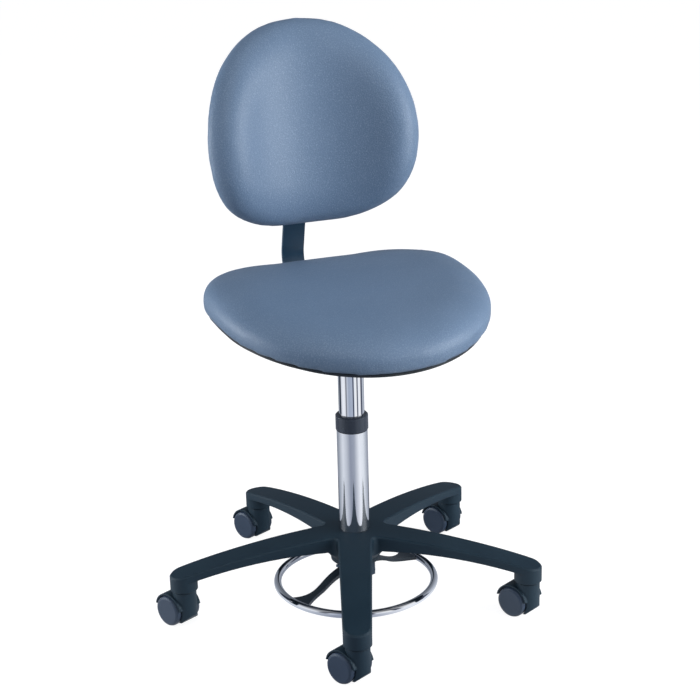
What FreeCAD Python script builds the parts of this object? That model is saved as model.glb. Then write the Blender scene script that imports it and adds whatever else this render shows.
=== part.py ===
import FreeCAD, Part
import math
import os
from FreeCAD import Placement, Rotation, Vector

# Laboratory stool with a foot operated gas spring. Sizes are in mm and angles in degrees.
# +Z is up, the origin lies on the floor under the column, and the sitter faces -Y.

# Fits
running_gap = 0.05
seat_gap = 0.3
weld_gap = 0.05

# Base
arm_count = 5
first_arm_azimuth = -111.0
stem_circle_r = 288.0
hub_top_z = 121.5
hub_bottom_z = 68.0
hub_r = 40.0
hub_rise = 20.0
arm_root_half_width = 28.5
arm_root_fillet_r = 9.0
arm_tip_drop = 35.0
arm_edge = 2.4
arm_low_peak_r = 115.0
arm_low_peak_z = 97.5
arm_low_curve_r = 786.0
arm_wall = 4.5
arm_roof = 5.5
rib_thickness = 3.0
rib_spacing = 44.0
boss_r = 22.0
boss_bottom_z = 62.4

# Casters
wheel_r = 25.0
wheel_width = 20.5
wheel_inner_gap = 9.4
wheel_edge_r = 4.5
wheel_wall = 5.5
caster_trail = 17.0
caster_trail_azimuth = 116.7
axle_r = 3.0
stem_r = 5.5
stem_depth = 16.0
stem_foot = 10.0
hood_neck_r = 19.0
hood_shell = 3.0
hood_hub_r = 8.0
hood_wheel_gap = 1.2
hood_half_width = 22.0
hood_rear_z = 31.0
hood_front_z = 20.0
hood_low_z = 9.0
hood_shoulder_r = 15.0
hood_groove = 2.0

# Column
stand_tube_r = 25.0
stand_tube_wall = 1.8
stand_taper = 0.9
tube_floor = 3.0
tube_floor_z = 72.0
bush_bottom_z = 215.0
collar_bottom_z = 292.0
collar_top_z = 319.0
collar_r = 26.3
collar_chamfer = 2.0
guide_tube_r = 20.65
guide_tube_wall = 2.0
guide_tube_bottom_z = 170.0
guide_tube_top_z = 446.0

# Gas spring
cylinder_r = 14.0
cylinder_wall = 1.25
cylinder_bottom_z = 195.0
cylinder_top_z = 424.0
cylinder_cap = 8.0
cylinder_lip = 2.0
cylinder_stud_r = 5.0
cylinder_stud_length = 42.0
cylinder_seal_length = 16.0
piston_z = 285.0
piston_length = 20.0
rod_r = 5.0
rod_end_r = 4.0
rod_end_z = 68.5
pin_r = 2.0
pin_top_z = 280.0

# Thrust bearing and clip at the rod's foot
washer_r = 15.0
washer_thickness = 2.0
bearing_thickness = 3.0
bearing_r = 13.0
clip_r = 7.0
clip_thickness = 1.2

# Foot ring
ring_r = 129.0
ring_bar_r = 6.0
ring_z = 28.0
yoke_azimuth = 22.0
yoke_thickness = 6.0
yoke_top_z = 56.0
yoke_hub_r = 24.0
yoke_root_half_width = 12.0
yoke_waist_half_width = 7.0
yoke_waist_r = 78.0
yoke_flare_half_width = 25.0
strap_half_width = 18.0
strap_thickness = 4.0
strap_leg_inner = 28.0
strap_leg_outer = 37.0
strap_leg_half_width = 9.0
strap_screw_r = 2.0
strap_screw_head_r = 3.6
strap_screw_head = 3.5
strap_screw_grip = 12.0

# Seat: height of the pad's underside at the column, and the pad's plan outline
seat_z = 484.0
seat_tilt = 2.0
seat_half_width = 219.0
seat_length = 409.0
seat_rear_y = 180.0
seat_rear_arc_r = 1100.0
seat_side_arc_r = 700.0
seat_corner_r = 132.0
seat_wide_at = 152.0
seat_thickness = 47.0
seat_top_edge_r = 22.0
seat_low_edge_r = 8.0
seat_dish_r = 2660.0
seat_crown_r = 2090.0
seat_crown_y = 60.0
seat_board_thickness = 12.0
seat_board_inset = 22.0
seat_pan_thickness = 4.0
seat_pan_inset = 9.0

# Seat plate and spindle
plate_thickness = 3.0
plate_half_width = 78.0
plate_front_y = -85.0
plate_rear_y = 132.0
plate_corner_r = 12.0
socket_r = 24.0
socket_bottom_z = 450.3
spindle_flange = 4.0
spindle_length = 19.0
spindle_r = 19.0
spindle_taper = 0.9
bolt_r = 3.0
bolt_head_r = 5.5
bolt_head = 4.0
bolt_x = 60.0
bolt_front_y = -65.0
bolt_rear_y = 112.0
bolt_grip = 16.0

# Back bar and the guide that holds it under the seat
bar_half_width = 19.0
bar_thickness = 6.0
bar_front_y = 60.0
bar_lower_bend_r = 45.0
bar_upper_bend_r = 60.0
bar_mark_y = 257.0
bar_mark_z = 534.0
bar_forward_lean = 14.4
bar_top_v = 252.0
bar_tip_r = 9.0
bar_play = 0.4
guide_wall = 3.0
guide_front_y = 56.0
guide_rear_y = 126.0
guide_flange = 12.0

# Back: place of the front face's lower edge, lean, and the pad's outline
back_y = 151.7
back_z = 595.0
back_lean = 6.2
back_half_width = 171.6
back_length = 329.3
back_low_arc_r = 667.0
back_low_half_width = 18.4
back_side_arc_r = 311.0
back_dome_r = 82.7
back_thickness = 44.0
back_wrap = 86.0
back_crown = 7.0
back_front_edge_r = 20.0
back_rear_edge_r = 12.0
back_board_thickness = 10.0
back_board_inset = 30.0
back_cover_thickness = 3.0
back_cover_inset = 22.0
bracket_thickness = 3.0
bracket_low_v = 135.0
bracket_high_v = 205.0
bracket_half_width = 42.0
bracket_margin = 10.0
back_screw_r = 2.5
back_screw_head_r = 4.5
back_screw_head = 2.5
back_screw_grip = 14.0

# Clamp knobs
knob_r = 18.0
knob_height = 16.0
knob_standoff = 3.0
knob_neck_r = 9.0
knob_lobes = 5
knob_scallop_r = 9.0
knob_stud_r = 4.0

# Rolled edges, and the stations of curved faces
pad_steps = 3
edge_steps = 2
roll_margin = 0.6
curve_stations = 6
wrap_pieces = 3
wrap_reach = 80.0

# Margin by which a cutting tool passes the solid that it cuts
over = 5.0

X = Vector(1, 0, 0)
Y = Vector(0, 1, 0)
Z = Vector(0, 0, 1)
ORIGIN = Vector(0, 0, 0)


# Small builders

def segment(a, b):
    return Part.LineSegment(a, b).toShape()


def arc(a, middle, b):
    return Part.Arc(a, middle, b).toShape()


def wire_face(edges):
    return Part.Face(Part.Wire(edges))


def polygon_face(points):
    return Part.Face(Part.makePolygon(points + points[:1]))


def turned(points):
    """Solid of revolution about Z from (radius, height) corners."""
    return polygon_face([Vector(r, 0, z) for r, z in points]).revolve(ORIGIN, Z, 360)


def tube(outer_r, inner_r, low_z, high_z):
    return turned([(inner_r, low_z), (outer_r, low_z), (outer_r, high_z), (inner_r, high_z)])


def rod(radius, low_z, high_z, x=0.0, y=0.0):
    return Part.makeCylinder(radius, high_z - low_z, Vector(x, y, low_z))


def block(low, high):
    return Part.makeBox(high[0] - low[0], high[1] - low[1], high[2] - low[2], Vector(*low))


def fused(shapes):
    return shapes[0].multiFuse(shapes[1:]).removeSplitter()


def placed(shape, base, rotation):
    moved = shape.copy()
    moved.Placement = Placement(base, rotation).multiply(moved.Placement)
    return moved


def export(name, shape):
    shape.exportStep("parts/" + name + ".step")


# Pad outlines: a flat D of six tangent arcs, drawn in by an even inset

def unit(x, y):
    size = math.hypot(x, y)
    return x / size, y / size


def pad_outline(half_width, length, low_r, side_r, corner_r, wide_at, inset):
    """Edges in the XY plane, with the long low edge at y = 0 and the dome at y = length."""
    reach_x = half_width - side_r
    reach_y = wide_at - length
    top_r = (side_r**2 - reach_x**2 - reach_y**2) / (2 * side_r + 2 * reach_y)
    top_c = (0.0, length - top_r)
    side_c = (reach_x, wide_at)
    low_c = (0.0, low_r)
    span_x = low_c[0] - side_c[0]
    span_y = low_c[1] - side_c[1]
    span = math.hypot(span_x, span_y)
    along = ((side_r - corner_r)**2 - (low_r - corner_r)**2 + span**2) / (2 * span)
    across = math.sqrt((side_r - corner_r)**2 - along**2)
    corner_c = (side_c[0] + (along * span_x + across * span_y) / span,
                side_c[1] + (along * span_y - across * span_x) / span)
    low_dir = unit(corner_c[0] - low_c[0], corner_c[1] - low_c[1])
    side_dir = unit(corner_c[0] - side_c[0], corner_c[1] - side_c[1])
    top_dir = unit(top_c[0] - side_c[0], top_c[1] - side_c[1])
    corner_dir = unit(low_dir[0] + side_dir[0], low_dir[1] + side_dir[1])
    flank_dir = unit(side_dir[0] + top_dir[0], side_dir[1] + top_dir[1])

    def on(centre, radius, direction, sign):
        reach = radius - inset
        return Vector(sign * (centre[0] + reach * direction[0]), centre[1] + reach * direction[1], 0)

    edges = [arc(on(low_c, low_r, low_dir, -1), Vector(0, inset, 0), on(low_c, low_r, low_dir, 1))]
    for start, middle, end in ((low_dir, corner_dir, side_dir), (side_dir, flank_dir, top_dir)):
        centre, radius = (corner_c, corner_r) if start is low_dir else (side_c, side_r)
        edges.append(arc(*[on(centre, radius, way, 1) for way in (start, middle, end)]))
    dome = Vector(0, length - inset, 0)
    edges.append(arc(on(side_c, side_r, top_dir, 1), dome, on(side_c, side_r, top_dir, -1)))
    for start, middle, end in ((top_dir, flank_dir, side_dir), (side_dir, corner_dir, low_dir)):
        centre, radius = (corner_c, corner_r) if end is low_dir else (side_c, side_r)
        edges.append(arc(*[on(centre, radius, way, -1) for way in (start, middle, end)]))
    return edges


# Rolled edges: bands between outlines that are carried on to a curved face

def rolled(edge_r, steps):
    """Inset and depth at even steps round a rolled edge, from the wall to the face."""
    angles = [math.pi / 2 * index / steps for index in range(steps + 1)]
    return [(edge_r * (1 - math.cos(angle)), edge_r * (1 - math.sin(angle))) for angle in angles]


def carried(outline, pieces, place):
    """Closed wire of arcs through the places of an outline's points, each edge in equal pieces."""
    edges = []
    for edge in outline:
        low, high = edge.ParameterRange
        step = (high - low) / (2 * pieces)
        marks = [place(edge.valueAt(low + index * step), edge.tangentAt(low + index * step))
                 for index in range(2 * pieces + 1)]
        edges += [arc(*marks[2 * index:2 * index + 3]) for index in range(pieces)]
    return Part.Wire(edges)


# Base

tip_reach = stem_circle_r + boss_r
dome_r = (tip_reach**2 + arm_tip_drop**2) / (2 * arm_tip_drop)
base_floor_z = boss_bottom_z - over
arm_step = 360.0 / arm_count


def dome_z(radius, drop=0.0):
    return hub_top_z - drop - dome_r + math.sqrt(dome_r**2 - radius**2)


def arm_low_z(radius):
    return arm_low_peak_z - arm_low_curve_r + math.sqrt(arm_low_curve_r**2 - (radius - arm_low_peak_r)**2)


def spun(edges):
    return wire_face(edges).revolve(ORIGIN, Z, 360)


def star_outline(inset):
    """Plan of the arms, with tapered sides, round tips and rounded roots."""
    tip_r = boss_r - inset
    root = arm_root_half_width - inset
    root_fillet = arm_root_fillet_r + inset
    taper = math.acos(tip_r / math.hypot(root, stem_circle_r)) - math.atan2(stem_circle_r, root)
    half_step = math.radians(arm_step / 2)
    corner = (root * math.cos(taper) + root_fillet) / math.sin(half_step + taper)
    corner_x = corner * math.cos(half_step)
    corner_y = corner * math.sin(half_step)
    tip = Vector(stem_circle_r + tip_r, 0, 0)
    tip_side = Vector(stem_circle_r + tip_r * math.sin(taper), tip_r * math.cos(taper), 0)
    root_centre = Vector(corner_x, corner_y, 0)
    root_side = root_centre - Vector(math.sin(taper), math.cos(taper), 0) * root_fillet
    root_middle = root_centre * ((corner - root_fillet) / corner)
    edges = []
    for index in range(arm_count):
        turn = Rotation(Z, first_arm_azimuth + index * arm_step)
        following = Rotation(Z, first_arm_azimuth + (index + 1) * arm_step)
        flip = Vector(tip_side.x, -tip_side.y, 0)
        root_flip = Vector(root_side.x, -root_side.y, 0)
        edges.append(arc(turn * flip, turn * tip, turn * tip_side))
        edges.append(segment(turn * tip_side, turn * root_side))
        edges.append(arc(turn * root_side, turn * root_middle, following * root_flip))
        edges.append(segment(following * root_flip, following * flip))
    return edges


def star_prism(inset):
    height = hub_top_z + over - base_floor_z
    return wire_face(star_outline(inset)).extrude(Z * height).translate(Z * base_floor_z)


def under_dome(inner_r, outer_r, drop):
    """Ring of revolution from the floor of the base up to the dome lowered by drop."""
    middle_r = (inner_r + outer_r) / 2
    low_in = Vector(inner_r, 0, base_floor_z)
    low_out = Vector(outer_r, 0, base_floor_z)
    high_in = Vector(inner_r, 0, dome_z(inner_r, drop))
    high_out = Vector(outer_r, 0, dome_z(outer_r, drop))
    top = arc(high_out, Vector(middle_r, 0, dome_z(middle_r, drop)), high_in)
    return spun([segment(low_in, low_out), segment(low_out, high_out), top, segment(high_in, low_in)])


def along_arms(start, top, end, floor_z):
    """One cutter for each arm: its side view from start to end under the top curve."""
    start_low = Vector(start.x, 0, floor_z)
    end_low = Vector(end.x, 0, floor_z)
    view = wire_face([segment(start_low, start)] + top + [segment(end, end_low), segment(end_low, start_low)])
    half_width = arm_root_half_width + 2 * arm_root_fillet_r
    cutter = view.extrude(Y * 2 * half_width).translate(Y * -half_width)
    return [placed(cutter, ORIGIN, Rotation(Z, first_arm_azimuth + index * arm_step))
            for index in range(arm_count)]


def below_arms():
    """Space under the arms' lower edge, with the sloped rise from the hub's wall."""
    start_r = hub_r + hub_rise
    start_z = arm_low_z(start_r)
    end_r = tip_reach + over
    floor_z = base_floor_z - over
    start = Vector(start_r, 0, start_z)
    level_r = start_r + hub_rise
    rise = turned([(hub_r, floor_z), (hub_r, start_z - hub_rise), (start_r, start_z), (level_r, start_z),
                   (level_r, floor_z)])
    peak = Vector(arm_low_peak_r, 0, arm_low_peak_z)
    end = Vector(end_r, 0, arm_low_z(end_r))
    return [rise] + along_arms(start, [arc(start, peak, end)], end, floor_z)


def arm_hollows():
    """Hollow underside of the arms, less the long rib and the cross ribs."""
    inner_r = hub_r + arm_wall
    outer_r = stem_circle_r - boss_r
    roof = [Vector(radius, 0, dome_z(radius, arm_roof))
            for radius in (inner_r, (inner_r + outer_r) / 2, outer_r)]
    cutters = along_arms(roof[0], [arc(*roof)], roof[2], base_floor_z - over)
    hollow = star_prism(arm_wall).common(fused(cutters))
    half = rib_thickness / 2
    ribs = []
    for index in range(arm_count):
        long_rib = block((0, -half, base_floor_z - over), (outer_r + over, half, hub_top_z))
        ribs.append(placed(long_rib, ORIGIN, Rotation(Z, first_arm_azimuth + index * arm_step)))
    for index in range(1, int((outer_r - inner_r) / rib_spacing) + 1):
        radius = inner_r + index * rib_spacing
        ribs.append(tube(radius + half, radius - half, base_floor_z - over, hub_top_z))
    return hollow.cut(ribs)


def arm_places():
    return [math.radians(first_arm_azimuth + index * arm_step) for index in range(arm_count)]


def stem_point(angle):
    return stem_circle_r * math.cos(angle), stem_circle_r * math.sin(angle)


def strap_screw_points():
    reach = (strap_leg_inner + strap_leg_outer) / 2
    angle = math.radians(yoke_azimuth + 90)
    return [(sign * reach * math.cos(angle), sign * reach * math.sin(angle)) for sign in (1, -1)]


def tube_taper_r(z):
    """Outer radius of the stand tube where it is drawn in inside the hub."""
    return stand_tube_r - stand_taper * (hub_top_z - z) / (hub_top_z - tube_floor_z)


def make_base_star():
    star = star_prism(0).common(under_dome(0, tip_reach + over, 0))
    dome = [face for face in star.Faces if face.Surface.TypeId == "Part::GeomSphere"]
    star = star.makeChamfer(arm_edge, dome[0].Edges).cut(fused(below_arms()))
    boss_top_z = dome_z(tip_reach) - arm_roof
    stem_points = [stem_point(angle) for angle in arm_places()]
    bosses = [rod(boss_r, boss_bottom_z, boss_top_z, *point) for point in stem_points]
    hub = rod(hub_r, hub_bottom_z, dome_z(hub_r) - arm_roof)
    low_cut = rod(hub_r + over, base_floor_z - over, hub_bottom_z)
    star = fused([star.cut(low_cut), hub] + bosses)
    low_bore_r = tube_taper_r(base_floor_z) + weld_gap
    high_bore_r = stand_tube_r + weld_gap
    bore = turned([(0, base_floor_z), (low_bore_r, base_floor_z), (high_bore_r, hub_top_z),
                   (high_bore_r, hub_top_z + over), (0, hub_top_z + over)])
    stem_top_z = boss_bottom_z + stem_depth + seat_gap
    stem_hole_r = stem_r + running_gap
    stem_holes = [rod(stem_hole_r, base_floor_z - over, stem_top_z, *point) for point in stem_points]
    screw_top_z = hub_bottom_z + strap_screw_grip + seat_gap
    screw_hole_r = strap_screw_r + weld_gap
    screw_low_z = hub_bottom_z - over
    screw_holes = [rod(screw_hole_r, screw_low_z, screw_top_z, *point) for point in strap_screw_points()]
    return star.cut([arm_hollows(), bore] + stem_holes + screw_holes)


# Casters, in a frame at the stem with X along the trail and Y along the axle

axle_z = wheel_r
wheel_inner = wheel_inner_gap / 2
wheel_outer = wheel_inner + wheel_width
pocket_r = wheel_r + hood_wheel_gap
hood_r = pocket_r + hood_shell
neck_top_z = boss_bottom_z - hood_groove
bore_depth = wheel_width - wheel_wall
axle_half = wheel_inner + bore_depth - seat_gap
web_half = wheel_inner - seat_gap


def across(radius, start_y, end_y, x, z):
    return Part.makeCylinder(radius, end_y - start_y, Vector(x, start_y, z), Y)


def make_wheel():
    """Wheel turned about Z with its inner face at wheel_inner: a blind bore and a rolled outer rim."""
    bore_r = axle_r + running_gap
    bore_z = wheel_inner + bore_depth
    rim = [(wheel_r - inset, wheel_outer - depth) for inset, depth in rolled(wheel_edge_r, edge_steps)]
    return turned([(0, bore_z), (bore_r, bore_z), (bore_r, wheel_inner), (wheel_r, wheel_inner)] + rim
                  + [(0, wheel_outer)])


def make_hood():
    """Neck round the stem, fender over the wheels and a web between them."""
    fender = across(hood_r, -hood_half_width, hood_half_width, caster_trail, axle_z)
    upper_half = block((-hood_r, -hood_r, hood_rear_z), (caster_trail + hood_r, hood_r, neck_top_z))
    fender = fender.common(upper_half)
    neck = rod(hood_neck_r, hood_low_z, neck_top_z)
    front = Vector(-hood_neck_r, 0, hood_front_z)
    slope_end = Vector(hood_front_z - hood_neck_r, 0, 0)
    slope = polygon_face([Vector(-hood_r, -hood_r, 0), Vector(front.x - over, -hood_r, front.z + over),
                          Vector(slope_end.x, -hood_r, slope_end.z)]).extrude(Y * 2 * hood_r)
    pockets = [across(pocket_r, web_half, hood_r, caster_trail, axle_z),
               across(pocket_r, -hood_r, -web_half, caster_trail, axle_z)]
    web_boss = across(hood_hub_r, -web_half, web_half, caster_trail, axle_z)
    shoulder = rod(hood_shoulder_r, neck_top_z - over, boss_bottom_z - seat_gap)
    body = fused([fender, neck.cut(slope)]).cut(pockets)
    body = fused([body, web_boss, shoulder])
    stem_hole = rod(stem_r + weld_gap, neck_top_z - stem_foot, boss_bottom_z + over)
    return body.cut([stem_hole, across(axle_r + weld_gap, -hood_r, hood_r, caster_trail, axle_z)])


def make_stem():
    return rod(stem_r, neck_top_z - stem_foot, boss_bottom_z + stem_depth)


def make_axle():
    return across(axle_r, -axle_half, axle_half, caster_trail, axle_z)


def export_casters():
    wheel = make_wheel()
    axle_place = Vector(caster_trail, 0, axle_z)
    pieces = {"caster_hood_{}": make_hood(), "caster_stem_{}": make_stem(), "caster_axle_{}": make_axle(),
              "caster_wheel_{}_left": placed(wheel, axle_place, Rotation(Z, Y)),
              "caster_wheel_{}_right": placed(wheel, axle_place, Rotation(Z, -Y))}
    for number, angle in enumerate(arm_places(), 1):
        base = Vector(*stem_point(angle), 0)
        for pattern, piece in pieces.items():
            export(pattern.format(number), placed(piece, base, Rotation(Z, caster_trail_azimuth)))


# Column

stand_inner_r = stand_tube_r - stand_tube_wall
bearing_z = tube_floor_z + tube_floor
rod_shoulder_z = bearing_z + 2 * washer_thickness + bearing_thickness
rod_hole_r = rod_end_r + running_gap


def make_stand_tube():
    """Straight tube, drawn in to a taper inside the hub, with a floor that the rod's foot passes."""
    low_r = tube_taper_r(tube_floor_z)
    high_r = tube_taper_r(hub_top_z)
    return turned([(rod_hole_r, tube_floor_z), (low_r, tube_floor_z), (high_r, hub_top_z),
                   (stand_tube_r, collar_bottom_z), (stand_inner_r, collar_bottom_z),
                   (stand_inner_r, bearing_z), (rod_hole_r, bearing_z)])


def make_guide_bush():
    inner_r = guide_tube_r + running_gap
    sleeve_r = stand_inner_r - weld_gap
    rim_r = collar_r - collar_chamfer
    return turned([(inner_r, bush_bottom_z), (sleeve_r, bush_bottom_z), (sleeve_r, collar_bottom_z),
                   (rim_r, collar_bottom_z), (collar_r, collar_bottom_z + collar_chamfer),
                   (collar_r, collar_top_z - collar_chamfer), (rim_r, collar_top_z), (inner_r, collar_top_z)])


def make_guide_tube():
    return tube(guide_tube_r, guide_tube_r - guide_tube_wall, guide_tube_bottom_z, guide_tube_top_z)


def make_spindle_head():
    """Plug of the inner tube, with the taper that the seat plate sits on."""
    spigot_r = guide_tube_r - guide_tube_wall - weld_gap
    flange_z = guide_tube_top_z + spindle_flange
    bore_r = cylinder_stud_r + weld_gap
    low_z = cylinder_top_z + seat_gap
    high_z = flange_z + spindle_length
    return turned([(bore_r, low_z), (spigot_r, low_z), (spigot_r, guide_tube_top_z),
                   (guide_tube_r, guide_tube_top_z), (guide_tube_r, flange_z), (spindle_r, flange_z),
                   (spindle_r - spindle_taper, high_z), (bore_r, high_z)])


def make_gas_cylinder():
    inner_r = cylinder_r - cylinder_wall
    lip_r = inner_r - cylinder_lip
    lip_z = cylinder_bottom_z + cylinder_lip
    cap_z = cylinder_top_z - cylinder_cap
    stud_top_z = cylinder_top_z + cylinder_stud_length
    return turned([(lip_r, cylinder_bottom_z), (cylinder_r, cylinder_bottom_z), (cylinder_r, cylinder_top_z),
                   (cylinder_stud_r, cylinder_top_z), (cylinder_stud_r, stud_top_z), (0, stud_top_z),
                   (0, cap_z), (inner_r, cap_z), (inner_r, lip_z), (lip_r, lip_z)])


def make_cylinder_seal():
    low_z = cylinder_bottom_z + cylinder_lip
    outer_r = cylinder_r - cylinder_wall - weld_gap
    return tube(outer_r, rod_r + running_gap, low_z, low_z + cylinder_seal_length)


def make_piston():
    outer_r = cylinder_r - cylinder_wall - running_gap
    return tube(outer_r, rod_r + weld_gap, piston_z, piston_z + piston_length)


def make_piston_rod():
    """Hollow rod with a shoulder on the bearing and a grooved foot below the tube's floor."""
    bore_r = pin_r + running_gap
    bore_top_z = pin_top_z + over
    top_z = piston_z + piston_length
    shape = turned([(0, rod_end_z), (rod_end_r, rod_end_z), (rod_end_r, rod_shoulder_z),
                    (rod_r, rod_shoulder_z), (rod_r, top_z), (0, top_z)])
    groove_z = tube_floor_z - seat_gap - clip_thickness
    groove = tube(rod_end_r + over, rod_end_r - clip_thickness, groove_z, groove_z + clip_thickness)
    return shape.cut([rod(bore_r, rod_end_z - over, bore_top_z), groove])


def make_release_pin():
    tip_centre = Vector(0, 0, yoke_top_z + seat_gap + pin_r)
    return fused([rod(pin_r, tip_centre.z, pin_top_z), Part.makeSphere(pin_r, tip_centre)])


def make_washer(low_z):
    return tube(washer_r, rod_hole_r, low_z, low_z + washer_thickness)


def make_thrust_bearing():
    low_z = bearing_z + washer_thickness
    return tube(bearing_r, rod_hole_r, low_z, low_z + bearing_thickness)


def make_retaining_clip():
    """Open clip in the rod's groove."""
    low_z = tube_floor_z - seat_gap - clip_thickness
    ring = tube(clip_r, rod_end_r - clip_thickness + weld_gap, low_z, low_z + clip_thickness)
    mouth = block((0, -rod_end_r / 2, low_z - over), (clip_r + over, rod_end_r / 2, low_z + over))
    return ring.cut(mouth)


# Foot ring and its yoke, in a frame with X along the yoke

def make_foot_ring():
    return Part.makeTorus(ring_r, ring_bar_r, Vector(0, 0, ring_z), Z)


def ogee(start_x, start_z, end_x, end_z):
    """Two equal arcs that leave and arrive level."""
    half_x = (end_x - start_x) / 2
    half_z = (end_z - start_z) / 2
    radius = (half_x**2 + half_z**2) / (2 * abs(half_z))
    quarter = math.atan(abs(half_z) / half_x)
    rise = math.copysign(radius * (1 - math.cos(quarter)), half_z)
    run = radius * math.sin(quarter)
    middle = Vector(start_x + half_x, 0, start_z + half_z)
    first = arc(Vector(start_x, 0, start_z), Vector(start_x + run, 0, start_z + rise), middle)
    second = arc(middle, Vector(end_x - run, 0, end_z - rise), Vector(end_x, 0, end_z))
    return [first, second]


def make_foot_ring_yoke():
    """Crossbar that sinks from its hub to the ring and flares where it is welded on."""
    ring_top_z = ring_z + yoke_thickness / 2
    flat_x = yoke_hub_r - over
    level_x = ring_r - 2 * ring_bar_r
    line = [segment(Vector(0, 0, yoke_top_z), Vector(flat_x, 0, yoke_top_z))]
    line += ogee(flat_x, yoke_top_z, level_x, ring_top_z)
    line.append(segment(Vector(level_x, 0, ring_top_z), Vector(ring_r, 0, ring_top_z)))
    low_line = [edge.translated(Vector(0, 0, -yoke_thickness)) for edge in line]
    end = segment(Vector(ring_r, 0, ring_top_z), Vector(ring_r, 0, ring_top_z - yoke_thickness))
    start = segment(Vector(0, 0, yoke_top_z - yoke_thickness), Vector(0, 0, yoke_top_z))
    band = wire_face(Part.__sortEdges__(line + low_line + [end, start]))
    band = band.extrude(Y * 2 * yoke_flare_half_width).translate(Y * -yoke_flare_half_width)
    waist_start = yoke_waist_r / 2
    waist_half = (yoke_root_half_width + 2 * yoke_waist_half_width) / 3
    flare_x = (yoke_waist_r + ring_r) / 2 + ring_bar_r
    flare_half = (3 * yoke_waist_half_width + yoke_flare_half_width) / 4
    side = [(0, yoke_root_half_width), (waist_start, waist_half), (yoke_waist_r, yoke_waist_half_width),
            (flare_x, flare_half), (ring_r, yoke_flare_half_width)]
    high = [Vector(x, y, 0) for x, y in side]
    low = [Vector(x, -y, 0) for x, y in side]
    plan = [arc(*high[0:3]), arc(*high[2:5]), segment(high[4], low[4]), arc(low[4], low[3], low[2]),
            arc(low[2], low[1], low[0]), segment(low[0], high[0])]
    spoke = wire_face(plan).extrude(Z * (yoke_top_z + over)).common(band)
    hub = rod(yoke_hub_r, yoke_top_z - yoke_thickness, yoke_top_z)
    yoke = fused([spoke, placed(spoke, ORIGIN, Rotation(Z, 180)), hub])
    return yoke.cut(Part.makeTorus(ring_r, ring_bar_r + weld_gap, Vector(0, 0, ring_z), Z))


def make_yoke_retainer():
    """Strap across the hub: the yoke rests on it and tips over its edge."""
    top_z = yoke_top_z - yoke_thickness - seat_gap
    low_z = top_z - strap_thickness
    strap = block((-strap_half_width, -strap_leg_inner, low_z), (strap_half_width, strap_leg_inner, top_z))
    pieces = [strap]
    half = strap_leg_half_width
    for near, far in ((strap_leg_inner, strap_leg_outer), (-strap_leg_outer, -strap_leg_inner)):
        pieces.append(block((-half, near, low_z), (half, far, hub_bottom_z)))
    turn = Rotation(Z, yoke_azimuth)
    hole_r = strap_screw_r + weld_gap
    holes = [rod(hole_r, low_z - over, hub_bottom_z + over, *point) for point in strap_screw_points()]
    return placed(fused(pieces), ORIGIN, turn).cut(holes)


def make_retainer_screws():
    low_z = yoke_top_z - yoke_thickness - seat_gap - strap_thickness
    screws = []
    for point in strap_screw_points():
        shank = rod(strap_screw_r, low_z, hub_bottom_z + strap_screw_grip, *point)
        head = rod(strap_screw_head_r, low_z - strap_screw_head, low_z, *point)
        screws.append(shank.fuse(head).removeSplitter())
    return Part.makeCompound(screws)


# Seat, in a frame at the column's axis on the pad's underside, with Y to the rear

seat_turn = Rotation(X, seat_tilt)
seat_base = Vector(0, 0, seat_z)


def on_seat(shape):
    return placed(shape, seat_base, seat_turn)


def seat_outline(inset):
    return pad_outline(seat_half_width, seat_length, seat_rear_arc_r, seat_side_arc_r, seat_corner_r,
                       seat_wide_at, inset)


def seat_prism(inset, low, high):
    flat = placed(wire_face(seat_outline(inset)), Vector(0, seat_rear_y, 0), Rotation(X, 180))
    return flat.translate(Z * low).extrude(Z * (high - low))


def seat_height(x, y, height):
    """Height of a layer of the seat: crowned from front to rear and dished across."""
    middle = height - seat_crown_r + math.sqrt(seat_crown_r**2 - (y - seat_crown_y)**2)
    return seat_dish_r - math.sqrt((seat_dish_r - middle)**2 - x**2)


def seat_slab(low, high):
    """Curved layer that passes the pad's outline: dished sections that follow the crown."""
    half = seat_half_width + over
    front_y = seat_rear_y - seat_length - over
    step = (seat_length + 2 * over) / curve_stations
    sections = []
    for index in range(curve_stations + 1):
        y = front_y + index * step
        bottom = [Vector(x, y, seat_height(x, y, low)) for x in (-half, 0, half)]
        top = [Vector(x, y, seat_height(x, y, high)) for x in (half, 0, -half)]
        sections.append(Part.Wire([arc(*bottom), segment(bottom[2], top[0]), arc(*top),
                                   segment(top[2], bottom[0])]))
    return Part.makeLoft(sections, True, True)


def seat_layer(inset, low, high):
    reach = seat_half_width
    return seat_prism(inset, low - reach, high + reach).common(seat_slab(low, high))


def seat_loop(inset, height):
    """Outline of the pad on a curved layer of the seat."""
    def place(point, tangent):
        y = seat_rear_y - point.y
        return Vector(point.x, y, seat_height(point.x, y, height))
    return carried(seat_outline(inset), 1, place)


def seat_end_loop(inset, height):
    """Outline of the pad on a level plane."""
    def place(point, tangent):
        return Vector(point.x, seat_rear_y - point.y, height)
    return carried(seat_outline(inset), 1, place)


def make_seat_cushion():
    """Crowned and dished pad with rolled edges and a recess for its board."""
    low = [(inset, depth) for inset, depth in reversed(rolled(seat_low_edge_r, edge_steps))]
    high = [(inset, seat_thickness - depth) for inset, depth in rolled(seat_top_edge_r, pad_steps)]
    low[0] = (seat_low_edge_r, -roll_margin)
    high[-1] = (seat_top_edge_r, seat_thickness + roll_margin)
    loops = [seat_loop(inset, height) for inset, height in low + high]
    reach = seat_half_width
    ends = [seat_end_loop(seat_low_edge_r, -reach), seat_end_loop(seat_top_edge_r, seat_thickness + reach)]
    pad = Part.makeLoft(ends[:1] + loops + ends[1:], True, True).common(seat_slab(0, seat_thickness))
    recess = seat_layer(seat_board_inset - seat_gap, -over, seat_board_thickness + seat_gap)
    return on_seat(pad.cut(recess))


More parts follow.
